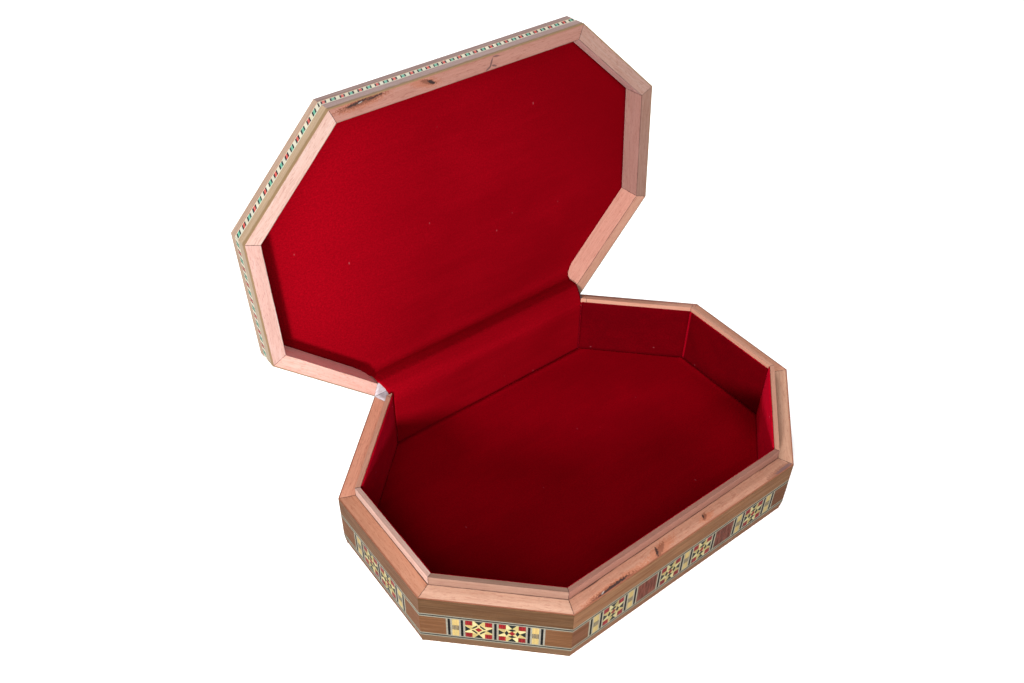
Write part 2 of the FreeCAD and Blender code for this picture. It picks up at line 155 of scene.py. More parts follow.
class Graph:
    """One node material. Each call adds nodes and returns an output of the last one."""

    def __init__(self, name):
        self.material = bpy.data.materials.new(name)
        self.material.use_nodes = True
        self.tree = self.material.node_tree
        self.shader = self.tree.nodes["Principled BSDF"]

    def add(self, kind, inputs, out=0, **settings):
        node = self.tree.nodes.new("ShaderNode" + kind)
        for key, value in settings.items():
            setattr(node, key, value)
        for key, value in inputs.items():
            self.put(node.inputs[key], value)
        return node.outputs[out]

    def put(self, socket, value):
        if isinstance(value, bpy.types.NodeSocket):
            self.tree.links.new(value, socket)
        else:
            socket.default_value = value

    def math(self, operation, a, b=0.0, c=0.0):
        return self.add("Math", {0: a, 1: b, 2: c}, operation=operation)

    def plus(self, a, b):
        return self.math("ADD", a, b)

    def minus(self, a, b):
        return self.math("SUBTRACT", a, b)

    def mul(self, a, b):
        return self.math("MULTIPLY", a, b)

    def apart(self, a, b):
        return self.math("ABSOLUTE", self.minus(a, b))

    def ramp(self, value, low, high, to_low=0.0, to_high=1.0):
        return self.add("MapRange", {0: value, 1: low, 2: high, 3: to_low, 4: to_high},
                        interpolation_type="SMOOTHSTEP")

    def mix(self, factor, a, b, blend="MIX"):
        return self.add("Mix", {0: factor, 6: a, 7: b}, out=2, data_type="RGBA", blend_type=blend)

    def tinted(self, colour, *factors):
        return self.mix(1.0, colour, (*factors, 1.0), "MULTIPLY")

    def scale(self, vector, factors):
        return self.add("VectorMath", {0: vector, 1: factors}, operation="MULTIPLY")

    def noise(self, vector, scale, detail=2.0, roughness=0.5, distortion=0.0):
        return self.add("TexNoise", {"Vector": vector, "Scale": scale, "Detail": detail,
                                     "Roughness": roughness, "Distortion": distortion})

    def place(self, matrix, normals=False):
        """Object coordinates in mm, or object normals, taken into a member's own frame."""
        source = self.add("TexCoord", {}, out="Normal" if normals else "Object")
        turn = matrix.to_euler("XYZ")
        if normals:
            return self.add("Mapping", {"Vector": source, "Rotation": turn[:]}, vector_type="NORMAL")
        return self.add("Mapping", {"Vector": source, "Rotation": turn[:], "Scale": (1 / MM,) * 3,
                                    "Location": matrix.translation[:]}, vector_type="POINT")

    def split(self, vector):
        node = self.tree.nodes.new("ShaderNodeSeparateXYZ")
        self.put(node.inputs[0], vector)
        return node.outputs

    def join(self, x, y, z):
        return self.add("CombineXYZ", {0: x, 1: y, 2: z})

    def bump(self, height, strength, distance):
        return self.add("Bump", {"Height": height, "Strength": strength, "Distance": distance * MM})

    def finish(self, colour, roughness, bump=None, **uniform):
        self.put(self.shader.inputs["Base Color"], colour)
        self.put(self.shader.inputs["Roughness"], roughness)
        if bump is not None:
            self.put(self.shader.inputs["Normal"], bump)
        for key, value in uniform.items():
            self.shader.inputs[key.replace("_", " ")].default_value = value
        return self.material


def times(colour, factor):
    return (*(min(1.0, c * factor) for c in colour[:3]), 1.0)


def spot(graph, place, u, v, length, width, angle=0.0, ragged=0.5):
    """A soft ragged mark at (u, v) on a member, from 0 outside to 1 inside."""
    c, s = math.cos(math.radians(angle)), math.sin(math.radians(angle))
    x, y, _ = graph.split(place)
    x = graph.minus(x, u)
    y = graph.minus(y, v)
    along = graph.plus(graph.mul(x, c / length), graph.mul(y, s / length))
    across = graph.plus(graph.mul(x, -s / width), graph.mul(y, c / width))
    reach = graph.math("SQRT", graph.plus(graph.mul(along, along), graph.mul(across, across)))
    rough = graph.mul(graph.minus(graph.noise(place, 1.3, 3.0), 0.5), 2 * ragged)
    return graph.ramp(graph.plus(reach, rough), 1.0, 0.6)


MEMBER_WIDTH = 7.8       # the width of a rim, inwards from its outer edge
MARK_DEPTH = 6.0         # how far a knot reaches from the rim's face


def wood(name, matrix, tint, marks=(), streak=0.1, fleck=0.5, pale=0.0, edge=0.0, chatter=0.0, seed=0.0,
         ends=(), foot=None, light=1.0, inner=1.0):
    """Pale hardwood with its grain and small dark rays along the member.
    pale adds light stripes, edge darkens the outer edge, and chatter adds saw marks across the grain.
    ends gives each mitre as (u at the outer edge, shift per mm inwards). foot is (v, w, closeness) of a line
    along the member, in its rim's face, darkened like the mitres; on the walls it is painted shadow at the
    lips' foot. light is the light that its marks are lit by, and inner paints light: it brightens what lies
    inside the rim, the lid rails' inner faces."""
    g = Graph(name)
    place = g.place(matrix)
    u0, v0, w0 = g.split(place)
    shift = (seed * 37.0, seed * 3.0, seed * 5.0)
    u, v, w = g.split(g.add("VectorMath", {0: place, 1: shift}, operation="ADD"))
    bend = g.mul(g.minus(g.noise(g.scale(place, (0.02, 0.05, 0.05)), 1.0), 0.5), 7.0)
    v2 = g.plus(v, bend)
    w2 = g.plus(w, bend)

    def grain(along, across, detail=2.0, roughness=0.5):
        return g.noise(g.join(g.mul(u, along), g.mul(v2, across), g.mul(w2, across)), 1.0, detail, roughness)

    lines = grain(0.03, 0.9, 5.0, 0.62)
    cloud = grain(0.05, 0.25)
    dashes = grain(0.3, 2.0, 1.0)
    pores = grain(1.6, 7.0, 2.0, 0.6)
    warm = (tint[0] * (1 - 0.8 * streak), tint[1] * (1 - 1.5 * streak), tint[2] * (1 - 1.8 * streak), 1.0)
    colour = g.mix(g.ramp(lines, 0.34, 0.66), warm, times(tint, 1 + 0.5 * streak))
    colour = g.mix(g.ramp(cloud, 0.4, 0.75, 0.0, 0.4), colour, times(tint, 1.1))
    if pale:
        pale_tint = (*(min(1.0, c * f) for c, f in zip(tint, (1.04, 1.16, 1.2))), 1.0)
        colour = g.mix(g.ramp(grain(0.02, 0.7, 3.0), 0.48, 0.66, 0.0, pale), colour, pale_tint)
    colour = g.mix(g.ramp(dashes, 0.58, 0.67, 0.0, fleck), colour,
                   (tint[0] * 0.66, tint[1] * 0.46, tint[2] * 0.42, 1.0))
    colour = g.mix(g.ramp(pores, 0.35, 0.6, 0.2, 0.0), colour, times(tint, 0.5))
    if edge:
        tone_mask = g.mul(g.ramp(g.plus(v0, g.mul(lines, 3.0)), 3.1, 1.5), edge)
        colour = g.mix(tone_mask, colour, (tint[0] * 0.70, tint[1] * 0.46, tint[2] * 0.40, 1.0))
    # Painted light: what lies inside the rim, the lid rails' inner faces, is made brighter to stand in for
    # light the lamps don't bring there.
    if inner != 1.0:
        colour = g.mix(g.math("GREATER_THAN", v0, MEMBER_WIDTH), colour,
                       g.tinted(colour, inner, inner, inner * 1.12))
    height = g.plus(g.mul(pores, 0.6), g.mul(lines, 0.4))
    if chatter:
        saw = g.noise(g.join(g.mul(u, 1.1), g.mul(v, 0.12), 0.0), 1.0, 2.0)
        height = g.plus(height, g.mul(saw, chatter))
        colour = g.mix(g.ramp(saw, 0.42, 0.6, 0.25 * chatter, 0.0), colour, times(tint, 0.66))
    for mark, strength, shade in marks:
        near_rim = g.math("LESS_THAN", g.apart(w0, foot[1]), MARK_DEPTH)
        mask = g.mul(spot(g, place, *mark), near_rim)
        colour = g.mix(g.mul(mask, strength), colour, srgb(*shade, light))
        height = g.minus(height, g.mul(mask, 0.5 * strength))
    joints = []
    for end, shift in ends:
        line = g.math("MULTIPLY_ADD", v0, shift, end)
        joints.append(g.apart(u0, line))
    if foot:
        reach = g.plus(g.apart(v0, foot[0]), g.apart(w0, foot[1]))
        joints.append(g.mul(reach, foot[2]))
    if joints:
        near = joints[0]
        for other in joints[1:]:
            near = g.math("MINIMUM", near, other)
        near = g.plus(near, g.mul(g.minus(lines, 0.42), 0.6))
        # Darkens the mitre joints and the foot line; on the walls the foot line is painted shadow at the lips'
        # foot.
        colour = g.mix(g.ramp(near, 0.08, 0.34, 0.9, 0.0), colour, srgb(52, 28, 26))
    rough = g.ramp(lines, 0.3, 0.7, 0.66, 0.5)
    return g.finish(colour, rough, g.bump(height, 0.4, 0.1), Specular_IOR_Level=0.25)


def dress(name, material):
    """Gives a CAD node its material."""
    piece = nodes[name]
    piece.data.materials.clear()
    piece.data.materials.append(material)


def member_matrix(side, lid):
    """From the scene, in mm, to a member's own frame, with the lid closed."""
    local = side_frame(side).inverted()
    return local @ OPEN.inverted() if lid else local


# Knots, bark and small cracks: ((u, v, half length, half width, angle, raggedness), strength, colour)
BARK = (44, 32, 32)
BURR = (120, 66, 46)
HALO = (188, 108, 72)
ASH = (206, 196, 190)
STAIN = (96, 66, 66)
BRUISE = (100, 78, 86)
BASE_FRONT_MARKS = [
    ((-50.0, 1.2, 24.0, 2.6, 1.0, 0.8), 0.55, HALO),
    ((-51.0, 1.0, 18.0, 1.9, 1.0, 0.8), 0.7, BURR),
    ((-51.0, 1.1, 11.5, 0.95, 2.0, 0.9), 0.9, BARK),
    ((-56.5, 1.4, 1.5, 0.4, 20.0, 0.3), 0.6, ASH),
    ((-17.5, 2.9, 12.0, 3.6, 10.0, 0.9), 0.5, HALO),
    ((-18.5, 3.0, 6.0, 1.7, 30.0, 0.8), 0.65, BURR),
    ((-20.6, 3.1, 3.2, 0.85, 64.0, 0.6), 0.9, BARK),
    ((13.6, 3.4, 6.0, 2.6, 5.0, 0.8), 0.5, HALO),
    ((13.0, 4.2, 2.9, 1.4, 40.0, 0.6), 0.7, BURR),
    ((12.4, 4.6, 1.4, 0.7, 60.0, 0.5), 0.8, BARK),
    ((66.0, 1.6, 13.0, 2.2, 3.0, 0.7), 0.45, BURR),
    ((69.0, 1.3, 8.5, 1.3, 2.0, 0.6), 0.65, BRUISE),
]
LID_FRONT_MARKS = [
    ((-58.0, 2.2, 17.0, 3.0, -3.0, 0.8), 0.55, HALO),
    ((-58.0, 2.0, 15.0, 1.8, -4.0, 0.9), 0.7, BURR),
    ((-60.0, 1.7, 7.5, 0.85, -6.0, 0.9), 0.85, BARK),
    ((-51.0, 1.5, 5.5, 0.6, -6.0, 0.7), 0.8, BARK),
    ((-58.5, 1.9, 1.5, 0.35, -12.0, 0.3), 0.6, ASH),
    ((-23.5, 3.0, 10.0, 3.0, 14.0, 0.9), 0.5, HALO),
    ((-21.5, 3.1, 5.5, 1.5, 24.0, 0.7), 0.7, BURR),
    ((-19.8, 3.7, 2.9, 0.9, 30.0, 0.5), 0.95, BARK),
    ((15.4, 4.3, 3.4, 0.62, 112.0, 0.4), 0.85, STAIN),
    ((13.4, 6.7, 2.2, 0.6, 150.0, 0.4), 0.75, STAIN),
    ((17.2, 6.2, 2.0, 0.6, 22.0, 0.4), 0.75, STAIN),
    ((18.6, 1.7, 2.4, 0.5, 8.0, 0.4), 0.75, STAIN),
]

# Each member's colour, and the light its face gets in the studio, so that its colour comes out right
BASE_RIM = {"front": (200, 147, 122, 1.3), "front_right": (190, 146, 122, 1.05), "right": (196, 140, 114, 1.1),
            "back_right": (197, 138, 117, 1.2), "back": (197, 142, 121, 1.2),
            "back_left": (212, 150, 124, 1.12), "left": (200, 142, 113, 1.4),
            "front_left": (228, 180, 154, 1.5)}
LID_RIM = {"front": (196, 140, 124, 2.02), "front_right": (206, 162, 146, 2.15), "right": (184, 138, 120, 2.25),
           "back_right": (203, 149, 125, 1.5), "back": (196, 144, 122, 1.5),
           "back_left": (232, 178, 164, 1.45), "left": (224, 180, 168, 1.8),
           "front_left": (232, 194, 180, 1.9)}
LIP = {"front": (180, 126, 110, 2.0), "front_right": (190, 140, 118, 1.2), "right": (192, 142, 120, 1.2),
       "back_right": (192, 142, 120, 1.2), "back_left": (200, 150, 128, 1.2),
       "left": (222, 183, 169, 1.75), "front_left": (208, 160, 138, 3.4)}


def mitres(side):
    """The two mitre lines of a member, as (u at the outer edge, shift per mm inwards)."""
    step = 10.0
    return [(a, (b - a) / step) for a, b in zip(side_ends(side, 0.0), side_ends(side, step))]


# The line at the lips' foot on the walls' rims, darkened as painted shadow where each lip rises from its rim.
LIP_FOOT_SHADOW_LINE = (8.2, RIM_Z, 0.42)
RAIL_JOINT = (7.9, LID_Z, 1.0)


for index, side in enumerate(SIDES):
    front = side == "front"
    ends = mitres(side)
    dress("wall_" + side, wood(
        "beech_wall_" + side, member_matrix(side, False), srgb(*BASE_RIM[side]),
        BASE_FRONT_MARKS if front else (), edge=0.8 if front else 0.3, chatter=0.8 if front else 0.15,
        seed=index, ends=ends, foot=None if side == "back" else LIP_FOOT_SHADOW_LINE, light=BASE_RIM[side][3]))
    dress("rail_" + side, wood(
        "beech_rail_" + side, member_matrix(side, True), srgb(*LID_RIM[side]),
        LID_FRONT_MARKS if front else (), edge=0.4 if front else 0.1,
        pale=0.6 if side in ("front_left", "left", "front_right") else 0.2, seed=index + 10,
        ends=ends, foot=RAIL_JOINT, light=LID_RIM[side][3],
        # inner paints light on the rails' inner faces, most on the back-left rail.
        inner=2.2 if side == "back_left" else 1.35))
    if side in LIP:
        dress("lip_" + side, wood("beech_lip_" + side, member_matrix(side, False), srgb(*LIP[side]),
                                  fleck=0.3, seed=index + 20, ends=ends))

BOARD = srgb(186, 142, 104, 1.3)
dress("base_board", wood("board_base", Matrix.Identity(4), BOARD, streak=0.3, seed=31))
dress("lid_board", wood("board_lid", OPEN.inverted(), BOARD, streak=0.3, seed=32))


SAME_SIDE = 0.93         # the cosine within which a normal belongs to a side


def band(name, lid, tint, tints, streak=0.2, mottle=0.25, edge=None, line_scale=1.0, cap=None):
    """A veneer or line that runs round all eight sides, with its grain along each side.
    tints are the sides that differ, edge is (z, z, colour) of a soiled lower edge, cap colours its top."""
    g = Graph(name)
    matrix = OPEN.inverted() if lid else Matrix.Identity(4)
    place = g.place(matrix)
    nx, ny, nz = g.split(g.place(matrix, normals=True))
    x, y, z = g.split(place)
    u = g.minus(g.mul(nx, y), g.mul(ny, x))
    depth = g.plus(g.mul(nx, x), g.mul(ny, y))
    u = g.plus(u, g.mul(depth, 3.1))
    base = tint
    for side, shade in tints.items():
        n = normal(side)
        facing = g.plus(g.mul(nx, n.x), g.mul(ny, n.y))
        base = g.mix(g.math("GREATER_THAN", facing, SAME_SIDE), base, shade)
    if cap:
        base = g.mix(g.math("GREATER_THAN", g.math("ABSOLUTE", nz), 0.6), base, cap)
    lines = g.noise(g.join(g.mul(u, 0.04 * line_scale), g.mul(z, 1.6), depth), 1.0, 5.0, 0.62)
    cloud = g.noise(g.join(g.mul(u, 0.06), g.mul(z, 0.3), depth), 1.0, 3.0)
    pores = g.noise(g.join(g.mul(u, 1.2), g.mul(z, 8.0), depth), 1.0, 2.0)
    colour = g.mix(g.ramp(lines, 0.36, 0.66, streak * 1.7, 0.0), base, g.tinted(base, 0.55, 0.42, 0.36))
    colour = g.mix(g.ramp(cloud, 0.45, 0.7, 0.0, mottle), colour, g.tinted(colour, 1.25, 1.22, 1.18))
    colour = g.mix(g.ramp(pores, 0.38, 0.6, 0.25, 0.0), colour, g.tinted(base, 0.5, 0.42, 0.38))
    if edge:
        low, high, shade = edge
        wave = g.mul(g.minus(g.noise(g.join(g.mul(u, 0.25), 0.0, 0.0), 1.0, 3.0), 0.5), 1.4)
        colour = g.mix(g.ramp(g.plus(z, wave), low, high, 0.0, 0.8), colour, shade)
    rough = g.ramp(lines, 0.3, 0.7, 0.74, 0.6)
    return g.finish(colour, rough, g.bump(g.plus(pores, lines), 0.3, 0.08), Specular_IOR_Level=0.04)


# The light on the outer faces, by side, with the lid open as in the photo
SIDE_LIGHT = {"front": 2.3, "front_left": 3.6, "left": 2.5}
OTHER_LIGHT = 1.8
LID_SIDE_LIGHT = {"front": 1.6, "front_left": 1.7, "left": 1.95}


def veneer(node, name, lid, default, *sides, **look):
    """Dresses a node in a band: its default tint, then those of the front, front-left and left sides."""
    levels = LID_SIDE_LIGHT if lid else SIDE_LIGHT
    tints = {side: srgb(*tint, levels[side]) for side, tint in zip(levels, sides)}
    dress(node, band(name, lid, srgb(*default, OTHER_LIGHT), tints, **look))


veneer("upper_band", "veneer_upper", False, (150, 108, 80), (162, 118, 84), (136, 100, 68), (146, 108, 80),
       streak=0.45, mottle=0.5, cap=srgb(186, 128, 104, 1.3))
veneer("lower_band", "veneer_lower", False, (150, 110, 82), (150, 104, 74), (156, 120, 88), (150, 112, 84),
       streak=0.25)
veneer("corner_fillers", "filler_walnut", False, (146, 100, 70), (136, 90, 62), (160, 112, 74), (150, 104, 74),
       streak=0.4)
veneer("lid_lower_band", "veneer_lid_lower", True, (176, 146, 126), (194, 168, 164), (206, 180, 150),
       (204, 184, 160), mottle=0.3, edge=(LID_Z + 2.0, LID_Z + 1.0, srgb(150, 120, 84, 1.6)))
veneer("lid_upper_band", "veneer_lid_upper", True, (176, 140, 118), (184, 158, 152), (212, 184, 162),
       (206, 180, 156), streak=0.3)
veneer("stringing_white", "line_white", False, (196, 196, 176), (184, 180, 158), (192, 190, 170),
       (196, 196, 176), streak=0.25, mottle=0.2, line_scale=3)
veneer("stringing_black", "line_black", False, (40, 34, 36), (36, 30, 32), (34, 28, 34), (40, 34, 36),
       streak=0.3, line_scale=3)
veneer("bars_white", "bar_white", False, (196, 192, 172), (186, 180, 158), (200, 196, 180), (196, 192, 172),
       streak=0.25, line_scale=4)
veneer("bars_black", "bar_black", False, (38, 34, 34), (34, 30, 30), (30, 28, 28), (38, 34, 34),
       streak=0.3, line_scale=4)
veneer("top_edge", "top_edge_line", True, (186, 150, 132))


def tile_wood(name, lid, tint, factors=(0.9, 0.9, 0.12), bold=0.55):
    """Figured veneer. factors are its frequencies along x, y and z, and bold the shade of its dark lines."""
    g = Graph(name)
    matrix = OPEN.inverted() if lid else Matrix.Identity(4)
    place = g.place(matrix)
    lines = g.noise(g.scale(place, factors), 1.0, 5.0, 0.6)
    fine = g.noise(g.scale(place, tuple(8 * f for f in factors)), 1.0, 2.0)
    colour = g.mix(g.ramp(lines, 0.36, 0.64), times(tint, bold), times(tint, 1.2))
    colour = g.mix(g.ramp(fine, 0.36, 0.58, 0.35, 0.0), colour, times(tint, 0.4))
    rough = g.ramp(lines, 0.3, 0.7, 0.5, 0.36)
    return g.finish(colour, rough, g.bump(g.plus(fine, lines), 0.3, 0.08), Specular_IOR_Level=0.03)


dress("mahogany_tiles", tile_wood("mahogany_side", False, srgb(126, 60, 40, 2.3)))
dress("top_mahogany_tiles", tile_wood("mahogany_top", True, srgb(126, 60, 40, 1.7), (0.9, 0.12, 0.9)))
dress("top_field", tile_wood("walnut_field", True, srgb(166, 122, 92, 1.5), (0.022, 0.5, 0.5), 0.7))
dress("top_stringing_white", tile_wood("top_line_white", True, srgb(206, 208, 190, 1.8), bold=0.9))
dress("top_stringing_black", tile_wood("top_line_black", True, srgb(50, 44, 46, 1.8)))


# ---------------------------------------------------------------- inlay built from small pieces
def chip_material(name):
    """Dyed wood and bone chips: each piece's own colour, with fine grain and a little waxed gloss."""
    g = Graph(name)
    tint = g.add("Attribute", {}, out="Color", attribute_name="chip")
    place = g.scale(g.add("TexCoord", {}, out="Object"), (1 / MM,) * 3)
    grain = g.noise(place, 3.2, 3.0, 0.6)
    speck = g.noise(place, 9.0, 2.0)
    colour = g.mix(g.ramp(grain, 0.35, 0.65, 0.28, 0.0), tint, g.tinted(tint, 0.62, 0.55, 0.5))
    colour = g.mix(g.ramp(speck, 0.33, 0.45, 0.35, 0.0), colour, g.tinted(tint, 0.5, 0.42, 0.36))
    rough = g.ramp(grain, 0.3, 0.7, 0.5, 0.34)
    return g.finish(colour, rough, g.bump(g.plus(grain, speck), 0.35, 0.06), Specular_IOR_Level=0.03)


class Inlay:
    """Small straight-sided pieces, each a closed prism with its own colour, in one mesh."""

    def __init__(self, seed):
        self.points, self.faces, self.tints = [], [], []
        self.draw = random.Random(seed)

    def prism(self, to_row, outline, top, bottom, tint, vary=0.08):
        """outline is (a, b) in the surface, top and bottom are depths under it, all in mm."""
        start, count = len(self.points), len(outline)
        turn = sum(outline[i][0] * outline[(i + 1) % count][1] - outline[(i + 1) % count][0] * outline[i][1]
                   for i in range(count))
        if turn < 0:
            outline = outline[::-1]
        for depth in (top, bottom):
            self.points += [to_row @ Vector((a, b, -depth)) for a, b in outline]
        faces = [[start + i for i in range(count)], [start + count + i for i in reversed(range(count))]]
        for i in range(count):
            j = (i + 1) % count
            faces.append([start + i, start + count + i, start + count + j, start + j])
        self.faces += faces
        factor = 1 + self.draw.uniform(-vary, vary)
        warm = self.draw.uniform(-vary, vary) / 2
        tint = (tint[0] * (factor + warm), tint[1] * factor, tint[2] * (factor - warm), 1.0)
        self.tints += [tint] * len(faces)

    def build(self, name, material, slot, body, *replaced):
        mesh = bpy.data.meshes.new(name)
        mesh.from_pydata([p * MM for p in self.points], [], self.faces)
        layer = mesh.color_attributes.new("chip", "FLOAT_COLOR", "CORNER")
        for polygon, tint in zip(mesh.polygons, self.tints):
            for corner in polygon.loop_indices:
                layer.data[corner].color = tint
        mesh.materials.append(material)
        piece = bpy.data.objects.new(name, mesh)
        bpy.context.scene.collection.objects.link(piece)
        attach(piece, body)
        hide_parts(*replaced)
        return piece


def box_outline(a0, a1, b0, b1):
    return [(a0, b0), (a1, b0), (a1, b1), (a0, b1)]


def solids(name):
    """The separate solids of a CAD node, each as its points in mm."""
    mesh = nodes[name].data
    index, parent = {}, []

    def root(i):
        while parent[i] != i:
            i = parent[i]
        return i

    keys = []
    for vertex in mesh.vertices:
        key = tuple(round(c / MM * 1000) for c in vertex.co)
        if key not in index:
            index[key] = len(parent)
            parent.append(len(parent))
        keys.append(index[key])
    for polygon in mesh.polygons:
        first = root(keys[polygon.vertices[0]])
        for other in polygon.vertices[1:]:
            parent[root(keys[other])] = first
            first = root(first)
    groups = {}
    for key, i in index.items():
        groups.setdefault(root(i), []).append(Vector(key) / 1000)
    return list(groups.values())


def side_of(points):
    """The side that a solid of the inlay belongs to."""
    middle = sum(points, Vector((0, 0, 0))) / len(points)
    plan = Vector((middle.x, middle.y))
    return max(SIDES, key=lambda s: normal(s).dot(plan - CORNERS[SIDES.index(s)]))


def face_frame(side, lid):
    """(a, b, c) is along the side, up, and out of its face."""
    axes = Matrix(((1, 0, 0, 0), (0, 0, -1, 0), (0, 1, 0, 0), (0, 0, 0, 1)))
    local = side_frame(side) @ axes
    return OPEN @ local if lid else local


CHIP_LIGHT = 2.6
RED = srgb(158, 30, 34, CHIP_LIGHT)
DARK_RED = srgb(92, 26, 28, CHIP_LIGHT)
CREAM = srgb(222, 204, 140, CHIP_LIGHT)
CREAM_PALE = srgb(232, 220, 160, CHIP_LIGHT)
CREAM_DEEP = srgb(206, 184, 118, CHIP_LIGHT)
GREEN = srgb(34, 38, 34, CHIP_LIGHT)
GOLD = srgb(222, 194, 124, CHIP_LIGHT)
GREY = srgb(112, 104, 92, CHIP_LIGHT)
STRAW = srgb(206, 188, 140, CHIP_LIGHT)
GLUE = srgb(150, 120, 76, CHIP_LIGHT)

# Depths under the inlay's face, in mm: a chip's underside, and the top and underside of the bed under it
CHIP_FOOT = 0.06
BED_TOP, BED_FOOT = 0.05, 0.6


def turned(shape, quarter):
    """A shape after this many quarter turns."""
    for _ in range(quarter):
        shape = [(-y, x) for x, y in shape]
    return shape


def star(inlay, to_row, a0, b0, half_a, half_b, ring):
    """A star tile. ring is True where the dark bars join the four points, False where they are lozenges."""
    def put(shape, top, bottom, tint, vary=0.1):
        inlay.prism(to_row, [(a0 + x * half_a, b0 + y * half_b) for x, y in shape], top, bottom, tint, vary)

    put(box_outline(-1, 1, -1, 1), BED_TOP, BED_FOOT, CREAM, 0.03)
    for q, (sx, sy) in enumerate(((1, 1), (-1, 1), (-1, -1), (1, -1))):
        put(box_outline(*sorted((sx * 0.46, sx * 0.99)), *sorted((sy * 0.46, sy * 0.99))), 0.02, CHIP_FOOT,
            DARK_RED, 0.05)
        for k in range(3):
            near = 0.47 + 0.175 * k
            put(box_outline(*sorted((sx * near, sx * (near + 0.15))), *sorted((sy * 0.475, sy * 0.98))),
                0.0, CHIP_FOOT, RED, 0.22)
        put(turned([(-0.31, -0.99), (0.31, -0.99), (0.0, -0.57)], q), 0.0, CHIP_FOOT, GREEN)
        if ring:
            apex, thick = 0.56, 0.10
            put(turned([(thick, -apex), (apex, -thick), (apex - 0.2, -thick), (thick, 0.2 - apex)], q),
                0.0, CHIP_FOOT, GREEN)
        else:
            put(turned([(0, -0.24), (0.30, -0.40), (0, -0.56), (-0.30, -0.40)], q), 0.0, CHIP_FOOT, GREEN)
        for hand, tint in ((1, CREAM_PALE), (-1, CREAM_DEEP)):
            put(turned([(hand * 0.33, -0.96), (hand * 0.44, -0.96), (hand * 0.44, -0.5), (hand * 0.04, -0.53)],
                       q), 0.01, CHIP_FOOT, tint, 0.08)
    put([(0.26, 0), (0, 0.26), (-0.26, 0), (0, -0.26)], 0.0, CHIP_FOOT, RED, 0.1)


def tiles(name):
    """Each tile of a CAD node: its side, and its lowest and highest corner in that side's frame."""
    for points in solids(name):
        side = side_of(points)
        local = [side_frame(side).inverted() @ p for p in points]
        yield side, [min(p[k] for p in local) for k in range(3)], [max(p[k] for p in local) for k in range(3)]


stars = Inlay(4)
for side, lo, hi in tiles("star_tiles"):
    star(stars, face_frame(side, False), (lo[0] + hi[0]) / 2, (lo[2] + hi[2]) / 2,
         (hi[0] - lo[0]) / 2, (hi[2] - lo[2]) / 2, side == "front_left" and lo[0] < -5)
chips = chip_material("dyed_chips")
stars.build("star_inlay", chips, "star_mosaic", "base", "star_tiles")

# Each cream tile is five upright sticks, with a grey block across the middle
STICKS = 5
STICK_GAP = 0.05
BLOCK_HALF = 2.0
creams = Inlay(5)
for side, lo, hi in tiles("cream_tiles"):
    to_row = face_frame(side, False)
    creams.prism(to_row, box_outline(lo[0], hi[0], lo[2], hi[2]), BED_TOP, BED_FOOT, GLUE, 0.05)
    step = (hi[0] - lo[0]) / STICKS
    mid = (lo[2] + hi[2]) / 2
    block = (mid - BLOCK_HALF + 0.03, mid + BLOCK_HALF - 0.03)
    for k in range(STICKS):
        a0, a1 = lo[0] + step * k + STICK_GAP / 2, lo[0] + step * (k + 1) - STICK_GAP / 2
        for b0, b1 in ((lo[2], mid - BLOCK_HALF), (mid + BLOCK_HALF, hi[2])):
            creams.prism(to_row, box_outline(a0, a1, b0, b1), 0.0, CHIP_FOOT, GOLD, 0.1)
        creams.prism(to_row, box_outline(a0 + 0.12, a1 - 0.12, *block), 0.01, CHIP_FOOT, GREY, 0.15)
        creams.prism(to_row, box_outline(a0 - 0.02, a0 + 0.1, *block), 0.0, CHIP_FOOT, STRAW, 0.1)
creams.build("cream_inlay", chips, "cream_mosaic", "base", "cream_tiles")

# The running strip, over and over: each chip's colour and width in mm
SLAT, GROUND, CORAL, MINT = (50, 44, 58), (246, 242, 218), (240, 96, 88), (120, 206, 178)
STRIP = [(SLAT, 0.78), (CORAL, 1.25), (SLAT, 0.78), (GROUND, 1.75),
         (SLAT, 0.78), (MINT, 1.3), (SLAT, 0.78), (GROUND, 1.75)]
STRIP_EDGE = (222, 166, 140)
STRIP_FOOT = 0.12
STRIP_LIGHT = {"front": 1.6, "front_left": 1.8, "left": 2.3}


